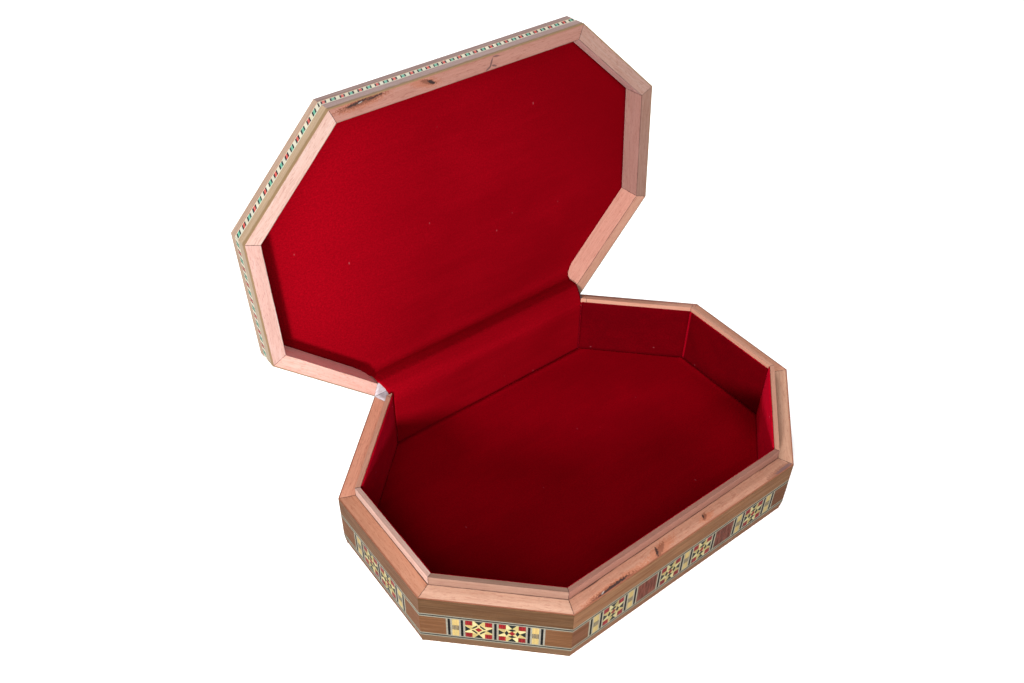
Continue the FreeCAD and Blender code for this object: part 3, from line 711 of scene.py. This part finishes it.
def strip(inlay, to_row, a_start, a_end, b0, b1, offset, light, mitre=(0.0, 0.0)):
    """One run of the mosaic strip between two mitres. mitre is the shift of each end per mm of height.
    The coloured chips are two slivers each, and a chip that crosses a mitre is cut short."""
    start, end = a_start + mitre[0] * (b1 - b0), a_end + mitre[1] * (b1 - b0)
    inlay.prism(to_row, [(a_start, b0), (a_end, b0), (end, b1), (start, b1)], BED_TOP, BED_FOOT,
                srgb(*GROUND, light), 0.02)
    inlay.prism(to_row, box_outline(start, end, b1 - 0.35, b1), 0.02, 0.1, srgb(*STRIP_EDGE, light), 0.05)
    low, high = b0 + 0.62, b1 - 0.78
    lean = 0.36 * (high - low)
    gap = 0.03
    limit_lo, limit_hi = a_start + 0.05, a_end - 0.05
    a, k = a_start - offset, 0
    while a < a_end:
        tint, width = STRIP[k % len(STRIP)]
        width *= inlay.draw.uniform(0.93, 1.12)
        left, right = a + gap, a + width - gap
        if left >= limit_lo and right + lean <= limit_hi:
            plain = tint in (SLAT, GROUND)
            sliver = right - left if plain else 0.44 * width
            for edge in (left,) if plain else (left, right - sliver):
                inlay.prism(to_row, [(edge, low), (edge + sliver, low), (edge + sliver + lean, high),
                                     (edge + lean, high)], inlay.draw.uniform(0.0, 0.025), STRIP_FOOT,
                            srgb(*tint, light), 0.1)
        elif right + lean > limit_lo and left < limit_hi:
            corners = (left, right, right + lean, left + lean)
            x0, x1, x2, x3 = (min(max(x, limit_lo), limit_hi) for x in corners)
            if abs(x1 - x0 + x2 - x3) > 0.3 and x1 > x0 + 0.02 and x2 > x3 + 0.02:
                inlay.prism(to_row, [(x0, low), (x1, low), (x2, high), (x3, high)], 0.01, STRIP_FOOT,
                            srgb(*tint, light), 0.1)
        a += width
        k += 1


def node_range(name, axis, lid):
    """A CAD node's lowest and highest value along an axis, with the lid closed, in mm."""
    values = [(OPEN.inverted() @ (v.co / MM) if lid else v.co / MM)[axis] for v in nodes[name].data.vertices]
    return min(values), max(values)


side_strip = Inlay(6)
top_strip = Inlay(7)
strip_lo, strip_hi = node_range("lid_mosaic", 2, True)
top_hi = node_range("top_mosaic", 2, True)[1]
inset_outer = HALF_DEPTH - node_range("top_mosaic", 1, True)[1]
inset_inner = HALF_DEPTH - node_range("top_stringing_white", 1, True)[1]
rise = inset_inner - inset_outer
for index, side in enumerate(SIDES):
    u0, u1 = side_ends(side, 0.0)
    strip(side_strip, face_frame(side, True), u0 + 0.1, u1 - 0.1, strip_lo, strip_hi, 1.3 * index % 5,
          STRIP_LIGHT.get(side, OTHER_LIGHT))
    e0, e1 = side_ends(side, inset_outer)
    f0, f1 = side_ends(side, inset_inner)
    to_top = OPEN @ side_frame(side) @ Matrix.Translation((0, 0, top_hi))
    strip(top_strip, to_top, e0 + 0.05, e1 - 0.05, inset_outer, inset_inner, 1.7 * index % 5, OTHER_LIGHT,
          ((f0 - e0) / rise, (f1 - e1) / rise))
side_strip.build("side_strip", chips, "strip_mosaic", "lid", "lid_mosaic")
top_strip.build("top_strip", chips, "strip_mosaic", "lid", "top_mosaic")

top_stars = Inlay(8)
tx0, tx1 = node_range("top_star_tiles", 0, True)
ty0, ty1 = node_range("top_star_tiles", 1, True)
COLUMNS, ROWS = 5, 3
wide, high = (tx1 - tx0) / COLUMNS, (ty1 - ty0) / ROWS
to_top = OPEN @ Matrix.Translation((0, 0, top_hi))
for column in range(COLUMNS):
    for row in range(ROWS):
        if (column + row) % 2 == 0:
            star(top_stars, to_top, tx0 + wide * (column + 0.5), ty0 + high * (row + 0.5),
                 wide / 2, high / 2, False)
top_stars.build("top_star_inlay", chips, "star_mosaic", "lid", "top_star_tiles")


# ---------------------------------------------------------------- velvet and tape
def velvet(name, tint, tint_low, from_attribute, painted_light_and_shade=False, painted_sheen=1.0):
    """Crushed crimson velvet: brushed streaks, darker blotches, lint and a short pile.
    from_attribute reads the sheet's flat coordinates. painted_light_and_shade paints light and shade on the
    lid: a lighter left, a darker far corner, and lighter velvet over the back rail and the bridge. lifted
    paints sheen: it brightens the walls that look to the back or the right."""
    g = Graph(name)
    if from_attribute:
        place = g.add("Attribute", {}, out="Vector", attribute_name="cloth")
    else:
        place = g.scale(g.add("TexCoord", {}, out="Object"), (1 / MM,) * 3)
    brushed = g.noise(g.scale(place, (0.016, 0.16, 0.16)), 1.0, 4.0, 0.6, 0.5)
    blotch = g.noise(g.scale(place, (0.018, 0.028, 0.028)), 1.0, 3.0, 0.55, 0.4)
    fine = g.noise(g.scale(place, (0.5, 1.1, 1.1)), 1.0, 3.0, 0.6)
    pile = g.noise(place, 1.1, 4.0, 0.75)
    lie = g.plus(g.mul(brushed, 0.35), g.mul(blotch, 0.65))
    colour = g.mix(g.ramp(lie, 0.36, 0.64), tint_low, tint)
    if painted_light_and_shade:
        x, y, _ = g.split(place)
        waver = g.mul(g.minus(blotch, 0.5), 60.0)
        x = g.plus(x, waver)
        # Painted light: a lighter pool over the lid's left.
        colour = g.mix(g.ramp(x, -20.0, -95.0, 0.0, 0.75), colour, times(tint, 1.35))
        # Painted shade: the lid's far corner, under the front rail, is darkened.
        corner = g.minus(x, g.mul(y, 0.9))
        colour = g.mix(g.ramp(corner, 40.0, 140.0, 0.0, 0.9), colour, times(tint_low, 0.76))
    colour = g.mix(g.ramp(fine, 0.38, 0.64, 0.25, 0.0), colour, times(tint_low, 0.85))
    colour = g.mix(g.ramp(pile, 0.36, 0.64, 0.5, 0.0), colour, times(tint_low, 0.6))
    lint = g.add("TexVoronoi", {"Vector": g.scale(place, (1.0, 0.55, 1.0)), "Scale": 0.085}, out="Distance")
    lint_mask = g.ramp(lint, 0.045, 0.02, 0.0, 0.3)
    colour = g.mix(lint_mask, colour, srgb(160, 90, 96))
    if painted_light_and_shade:
        # Painted light: the band over the back rail and the bridge is made lighter.
        tone_mask = g.mul(g.ramp(y, 72.0, 84.0), g.ramp(y, 104.0, 94.0))
        colour = g.mix(tone_mask, colour, g.tinted(colour, 1.15, 1.15, 1.15))
    if painted_sheen > 1.0:
        # Painted sheen: walls that face the back or the right are made brighter, the way velvet looks at a
        # grazing angle.
        nx, ny, _ = g.split(g.add("TexCoord", {}, out="Normal"))
        sheen_facing = g.plus(g.mul(nx, 0.6), g.mul(ny, 0.8))
        colour = g.mix(g.ramp(sheen_facing, -0.5, -0.2), colour, g.tinted(colour, painted_sheen, painted_sheen, painted_sheen * 1.3))
    rough = g.ramp(lie, 0.35, 0.65, 0.95, 0.85)
    height = g.plus(pile, g.mul(fine, 0.8))
    return g.finish(colour, rough, g.bump(height, 0.5, 0.2), Specular_IOR_Level=0.0, Sheen_Weight=0.12,
                    Sheen_Roughness=0.3, Sheen_Tint=(1.0, 0.015, 0.06, 1.0))


def link(name, mesh, material):
    """A new smooth-shaded object."""
    mesh.materials.append(material)
    piece = bpy.data.objects.new(name, mesh)
    bpy.context.scene.collection.objects.link(piece)
    for polygon in mesh.polygons:
        polygon.use_smooth = True
    return piece


def cloth_grid(name, sheet, material, thickness):
    """A piece from a Sheet, with its flat coordinates kept as an attribute, made solid."""
    rows = sheet.rows
    count = len(rows[0])
    faces = [[r * count + c, r * count + c + 1, (r + 1) * count + c + 1, (r + 1) * count + c]
             for r in range(len(rows) - 1) for c in range(count - 1)]
    mesh = bpy.data.meshes.new(name)
    mesh.from_pydata([p * MM for row in rows for p in row], [], faces)
    layer = mesh.attributes.new("cloth", "FLOAT_VECTOR", "POINT")
    layer.data.foreach_set("vector", [c for row in sheet.flat for point in row for c in point])
    piece = link(name, mesh, material)
    solid = piece.modifiers.new("thickness", "SOLIDIFY")
    solid.thickness = thickness * MM
    solid.offset = -1.0
    return applied(piece)


def applied(piece):
    """The piece with its modifiers made part of its mesh."""
    graph = bpy.context.evaluated_depsgraph_get()
    mesh = bpy.data.meshes.new_from_object(piece.evaluated_get(graph), preserve_all_data_layers=True,
                                           depsgraph=graph)
    piece.modifiers.clear()
    piece.data = mesh
    return piece


def wander(x, y, scale, seed):
    """Smooth noise from -1 to 1."""
    return noise.noise(Vector((x * scale, y * scale, seed)))


def edge_gap(x, y, inset):
    """How far a plan point is inside the octagon at this inset."""
    return min(normal(s).dot(CORNERS[SIDES.index(s)]) - inset - normal(s).dot(Vector((x, y))) for s in SIDES)


def row_values(inset, front, back, step):
    """y values from front to back that include the octagon's corners at this inset."""
    corner = abs(meet("front_right", inset, "right", inset).y)
    stops = [front, -corner, corner, back]
    values = []
    for a, b in zip(stops, stops[1:]):
        count = max(2, round((b - a) / step))
        values += [a + (b - a) * i / count for i in range(count)]
    return values + [back]


RAIL_INSET = HALF_DEPTH - 78.6   # the lid's inside edge
RAIL_Y = 77.8                    # the velvet on the back rail, with the lid closed
LID_DEPTH = 13.0                 # the velvet under the lid's board, up from the lid's rim
FILLET = 6.0                     # the radius where the velvet turns from the board down the back rail
FOOT_Z = 3.1                     # the velvet's lower edge on the walls
LINING_INSET = 11.4              # the velvet's face on the lips
COLUMNS_ACROSS = 96
lining_y = node_range("velvet_back_wall", 1, False)[0]
floor_top = node_range("velvet_floor", 2, False)[1]


def across(c):
    """-1 to 1, closer together near both ends."""
    t = 2 * c / COLUMNS_ACROSS - 1
    return math.sin(t * math.pi / 2) * 0.35 + t * 0.65


def lid_point(x, y, depth):
    """A point depth over the lid's rim, with the lid open."""
    return OPEN @ Vector((x, y, LID_Z + depth))


class Sheet:
    """The rows of points of one sheet, in mm, and the same points laid flat."""

    def __init__(self):
        self.rows, self.flat = [], []
        self.travelled = 0.0

    def cover(self, inset, back, step, trim, place):
        """Rows over the octagon at this inset, from its front edge to back, where place gives each point."""
        for y in row_values(inset, inset - HALF_DEPTH + 0.05, back, step):
            reach = half_width(y, inset) - trim
            places = [across(c) * reach for c in range(COLUMNS_ACROSS + 1)]
            self.rows.append([place(x, y, reach) for x in places])
            self.flat.append([(x, y, 0.0) for x in places])

    def follow(self, profile, halves, bulge, dip=0.5):
        """Rows along (y, z) points at rest, each with its half width, with bulge(x, t) towards the inside."""
        lengths = [0.0]
        for p, q in zip(profile, profile[1:]):
            lengths.append(lengths[-1] + (Vector(q) - Vector(p)).length)
        for i, point in enumerate(profile):
            t = lengths[i] / lengths[-1]
            a = Vector(profile[max(0, i - 1)])
            b = Vector(profile[min(len(profile) - 1, i + 1)])
            along = (b - a).normalized()
            out = Vector((along.y, -along.x))
            row, flat = [], []
            for c in range(COLUMNS_ACROSS + 1):
                x = across(c) * halves[i]
                rise = bulge(x, t) - dip * (1 - smooth((halves[i] - abs(x)) / 1.0))
                row.append(Vector((x, point[0] + out.x * rise, point[1] + out.y * rise)))
                flat.append((x, self.travelled + lengths[i], 0.0))
            self.rows.append(row)
            self.flat.append(flat)
        self.travelled += lengths[-1]


def lid_velvet_point(x, y, reach):
    """The velvet under the board. It turns up at the edge, but not at the back, where it goes on."""
    gap = edge_gap(x, y, RAIL_INSET) if y < 70 else min(edge_gap(x, 0, RAIL_INSET), (reach - abs(x)) * 0.72)
    depth = LID_DEPTH + 0.5 * (1 - smooth(gap / 1.6)) + 0.16 * wander(x, y, 0.03, 3.0)
    depth += 0.05 * wander(x, y, 0.16, 5.0)
    return lid_point(x, y, min(depth, LID_DEPTH + 0.5))


def spread(half_a, half_b, profile):
    """Half widths that change evenly along a profile."""
    last = len(profile) - 1
    return [half_a + (half_b - half_a) * i / last for i in range(last + 1)]


def opened(y, depth):
    """The (y, z) at rest of a point that is depth over the lid's rim when it is closed."""
    p = lid_point(0, y, depth)
    return (p.y, p.z)


def fillet_place(turn):
    """The closed lid's (y, depth) on the fillet after this turn in radians."""
    return panel_back + FILLET * math.sin(turn), LID_DEPTH - FILLET * (1 - math.cos(turn))


panel_back = RAIL_Y - FILLET
lid_sheet = Sheet()
lid_sheet.cover(RAIL_INSET, panel_back, 2.4, 0.05, lid_velvet_point)
lid_sheet.travelled = panel_back + 0.4
fillet = [fillet_place(turn) for turn in (0.22, 0.44, 0.66, 0.88, 1.1, 1.32, 1.5)]
rail_run = [opened(RAIL_Y, (LID_DEPTH - FILLET - 0.4) * (1 - i / 6)) for i in range(6)]
rail_half = side_ends("back", RAIL_INSET)[1] - 0.05
lid_sheet.follow([opened(*p) for p in fillet] + rail_run,
                 [half_width(y, RAIL_INSET) - 0.05 for y, _ in fillet] + [rail_half] * len(rail_run),
                 lambda x, t: 0.12 * wander(x, t * 12, 0.05, 8.0) * smooth(t / 0.2)
                 + 0.45 * smooth((t - 0.3) / 0.5), 0.15)

# The bridge over the hinge is one Bezier curve from the rail's velvet to the back wall's
start = Vector(opened(RAIL_Y, 0.0))
end = Vector((lining_y + 0.2, RIM_Z + 0.3))
handle_a = start + Vector((-2.6, 0.1))
handle_b = end + Vector((0.0, 2.6))
BRIDGE_STEPS = 14
bridge = []
for i in range(BRIDGE_STEPS + 1):
    t = i / BRIDGE_STEPS
    bridge.append(tuple(start * (1 - t) ** 3 + handle_a * 3 * t * (1 - t) ** 2
                        + handle_b * 3 * t * t * (1 - t) + end * t ** 3))
base_half = node_range("velvet_back_wall", 0, False)[1]


def slack(x, t):
    """The loose ridge that runs from the middle of the bridge on the left to its lower edge on the right."""
    line = 0.42 + 0.5 * (x / 71.7 + 1) / 2
    ridge = 0.5 * math.exp(-((t - line) / 0.16) ** 2)
    rolls = (ridge + 0.25 * wander(x, t * 12, 0.06, 12.0)) * smooth(t / 0.2)
    return 0.45 * smooth((1.1 - t) / 0.8) + rolls * smooth((1.05 - t) / 0.2)


lid_sheet.follow(bridge, spread(rail_half, base_half + 0.9, bridge), slack)
WALL_TOP, WALL_STEPS = 37.6, 12
wall_run = [(lining_y + 0.05, WALL_TOP + 1.0)]
wall_run += [(lining_y, WALL_TOP - (WALL_TOP - FOOT_Z) * i / WALL_STEPS) for i in range(WALL_STEPS + 1)]
lid_sheet.follow(wall_run, [base_half + 0.75] * len(wall_run),
                 lambda x, t: 0.25 * wander(x, t * 35, 0.05, 15.0) * smooth(t / 0.2)
                 * smooth((1 - t) / 0.2), 0.0)

lid_velvet = cloth_grid("velvet_lid_sheet", lid_sheet,
                        velvet("velvet_lid", srgb(162, 5, 22, 1.85), srgb(147, 3, 18, 1.85), True, True), 0.22)
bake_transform(lid_velvet)
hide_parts("velvet_lid", "velvet_lid_rail", "velvet_hinge", "velvet_back_wall")


def lining_points(side, profile, columns, before, after):
    """The velvet on one lip. profile is (v, w, how much it pillows) round its section, in mm."""
    to_row = side_frame(side)
    points = []
    for c in range(columns + 1):
        for v, w, face in profile:
            u0, u1 = side_ends(side, v, before, after)
            u = u0 + (u1 - u0) * c / columns
            gap = min(u - u0, u1 - u)
            push = 0.28 * face * smooth(gap / 5) + 0.10 * face * wander(u, w, 0.09, SIDES.index(side) * 7.0)
            points.append(to_row @ Vector((u, v + push, w)))
    return points


LINING_BACK = 10.65              # the velvet's back, just off the lips' inner faces
LINING_TOP = {"right": 41.9, "back_right": 41.9}      # 44 on the other sides
LEVELS = 12
back_inset = HALF_DEPTH - lining_y
wall_points, wall_faces = [], []
for side in SIDES:
    if side == "back":
        continue
    top = LINING_TOP.get(side, 44.0)
    inner, outer = LINING_INSET, LINING_BACK
    profile = [(outer, FOOT_Z, 0), (outer, top - 0.5, 0), (outer + 0.15, top - 0.1, 0),
               ((outer + inner) / 2, top, 0), (inner - 0.12, top - 0.15, 0), (inner, top - 0.6, 0.3)]
    drop = top - 0.6 - FOOT_Z
    profile += [(inner, top - 0.6 - drop * i / LEVELS, math.sin(math.pi * (0.1 + 0.9 * i / LEVELS)))
                for i in range(1, LEVELS + 1)]
    before, after = (back_inset if other == "back" else None for other in neighbours(side))
    columns = 48 if side == "front" else 28
    ring = len(profile)
    offset = len(wall_points)
    wall_points += lining_points(side, profile, columns, before, after)
    for c in range(columns):
        for r in range(ring):
            s = (r + 1) % ring
            wall_faces.append([offset + c * ring + r, offset + c * ring + s,
                               offset + (c + 1) * ring + s, offset + (c + 1) * ring + r])
    wall_faces.append([offset + r for r in reversed(range(ring))])
    wall_faces.append([offset + columns * ring + r for r in range(ring)])
mesh = bpy.data.meshes.new("velvet_wall_lining")
mesh.from_pydata([p * MM for p in wall_points], [], wall_faces)
# The walls' velvet, with painted sheen on the walls that face the back or the right.
wall_velvet = link("velvet_wall_lining", mesh,
                   velvet("velvet_walls", srgb(94, 1, 8), srgb(82, 1, 7), False, painted_sheen=4.6))
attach(wall_velvet, "base")
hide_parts("velvet_walls")


def floor_point(x, y, reach):
    """The velvet on the bottom, which turns up a little at its edge."""
    gap = min(edge_gap(x, min(y, 0), LINING_INSET), lining_y - y, edge_gap(x, y, LINING_INSET) + 2)
    return Vector((x, y, floor_top + 0.5 * (1 - smooth(gap / 3.0)) + 0.18 * wander(x, y, 0.035, 21.0)))


floor_sheet = Sheet()
floor_sheet.cover(LINING_INSET, lining_y - 0.05, 2.6, 0.06, floor_point)
floor_velvet = cloth_grid("velvet_floor_sheet", floor_sheet,
                          velvet("velvet_floor", srgb(140, 1, 16), srgb(128, 1, 14), True), 0.5)
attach(floor_velvet, "base")
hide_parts("velvet_floor")


def cotton(name, fold_run):
    """White cotton tape in a plain weave, a little soiled, with painted shade along the fold."""
    g = Graph(name)
    place = g.add("Attribute", {}, out="Vector", attribute_name="cloth")
    x, y, _ = g.split(place)
    threads = g.mul(g.math("SINE", g.mul(x, 14.0)), g.math("SINE", g.mul(y, 14.0)))
    soil = g.noise(g.scale(place, (0.2, 0.4, 0.4)), 1.0, 3.0)
    fold_shade = g.apart(y, fold_run)
    colour = g.mix(g.ramp(soil, 0.35, 0.65), srgb(206, 188, 192, 1.7), srgb(232, 222, 228, 1.7))
    colour = g.mix(g.ramp(threads, -1.0, 1.0, 0.22, 0.0), colour, srgb(176, 158, 164, 1.7))
    # Painted shade along the fold, where the tape turns into the hinge.
    colour = g.mix(g.ramp(fold_shade, 0.12, 0.45, 0.7, 0.0), colour, srgb(96, 80, 84, 1.5))
    return g.finish(colour, g.ramp(soil, 0.3, 0.7, 0.9, 0.8), g.bump(threads, 0.5, 0.15),
                    Sheen_Weight=0.1, Specular_IOR_Level=0.2)


# The folded tape under the velvet: out over the base's rim, round the fold, and in over the lid's rim, as
# (y, z, inset)
TAPE_ROWS, TAPE_COLUMNS = 8, 60
profile = [(HALF_DEPTH - inset, RIM_Z - 0.02, inset)
           for inset in (0.3 + 7.8 * i / TAPE_ROWS for i in reversed(range(TAPE_ROWS + 1)))]
profile += [(HALF_DEPTH - 0.12, RIM_Z, 0.12), (HALF_DEPTH, RIM_Z + 0.06, 0.0)]
for i in range(TAPE_ROWS + 1):
    inset = 0.2 + 7.6 * i / TAPE_ROWS
    profile.append((*opened(HALF_DEPTH - inset, 0.08), inset))
tape_sheet = Sheet()
run = 0.0
for i, (y, z, inset) in enumerate(profile):
    if i:
        run += math.dist((y, z), profile[i - 1][:2])
    u0, u1 = side_ends("back", inset)
    width = u1 - u0
    fray = 0.12 * math.sin(run * 2.1)
    row = [Vector((u0 + width * c / TAPE_COLUMNS, y, z + 0.05 * wander(c * 2.4, run, 0.2, 30.0)))
           for c in reversed(range(TAPE_COLUMNS + 1))]
    row[-1].x += fray
    row[0].x -= fray
    tape_sheet.rows.append(row)
    tape_sheet.flat.append([(width * c / TAPE_COLUMNS, run, 0.0) for c in reversed(range(TAPE_COLUMNS + 1))])
tape = cloth_grid("hinge_tape_sheet", tape_sheet, cotton("cotton_tape", 7.9), 0.24)
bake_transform(tape)
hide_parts("hinge_tape_base", "hinge_tape_lid")

# ---------------------------------------------------------------- floor, light and camera
STAGE = 6.0                      # half the floor's width, in metres
STAGE_Z = -0.0002
floor_mesh = bpy.data.meshes.new("floor")
floor_corners = box_outline(-STAGE, STAGE, -STAGE, STAGE)
floor_mesh.from_pydata([(x, y, STAGE_Z) for x, y in floor_corners], [], [[0, 1, 2, 3]])
pale = Graph("pale_floor")
soft = pale.noise(pale.add("TexCoord", {}, out="Object"), 3.0, 2.0)
pale.finish(pale.mix(soft, (0.74, 0.74, 0.74, 1), (0.77, 0.77, 0.77, 1)), 0.9, Emission_Color=(1, 1, 1, 1),
            Emission_Strength=0.45)
floor_mesh.materials.append(pale.material)
floor = bpy.data.objects.new("floor", floor_mesh)
bpy.context.scene.collection.objects.link(floor)
floor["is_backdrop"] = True

world = bpy.data.worlds.new("studio")
bpy.context.scene.world = world
world.use_nodes = True
background = world.node_tree.nodes["Background"].inputs
background["Color"].default_value = (1, 1, 1, 1)
background["Strength"].default_value = 0.14


def direction(azimuth, elevation):
    """Unit vector towards a light or camera; azimuth 0 is in front of the box."""
    a, e = math.radians(azimuth), math.radians(elevation)
    return Vector((math.sin(a) * math.cos(e), -math.cos(a) * math.cos(e), math.sin(e)))


def lamp(name, towards, distance, power, **settings):
    """An area light that looks at the middle of the open box."""
    data = bpy.data.lights.new(name, "AREA")
    data.energy = power
    for key, value in settings.items():
        setattr(data, key, value)
    light = bpy.data.objects.new(name, data)
    light.location = towards * distance + Vector((0, 0.03, 0.08))
    light.visible_camera = False
    light.rotation_euler = towards.to_track_quat("Z", "Y").to_euler()
    bpy.context.scene.collection.objects.link(light)


lamp("key", direction(-49, 12), 0.72, 2.6, shape="DISK", size=0.09, spread=math.radians(100))
lamp("softbox", direction(-42, 40), 1.6, 18.0, shape="SQUARE", size=0.9)
lamp("back_fill", direction(168, 42), 1.8, 38.0, shape="SQUARE", size=1.2)

# The camera that was fitted to the photo's perspective
roll = math.radians(1.0219)
back = direction(-38.0128, 42.5276)
right = (-back).cross(Vector((0, 0, 1))).normalized()
up = right.cross(-back)
right, up = (math.cos(roll) * right + math.sin(roll) * up, math.cos(roll) * up - math.sin(roll) * right)
lens = bpy.data.cameras.new("camera")
lens.lens = 34.76
lens.clip_start = 0.01
camera = bpy.data.objects.new("camera", lens)
camera.matrix_world = (Matrix.Translation((-0.25138, -0.26255, 0.43435))
                       @ Matrix((right, up, back)).transposed().to_4x4())
bpy.context.scene.collection.objects.link(camera)
bpy.context.scene.camera = camera
bpy.context.scene.view_settings.view_transform = "Standard"

[[list(map(float, corner)) for corner in box] for box in (cad_box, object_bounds())]
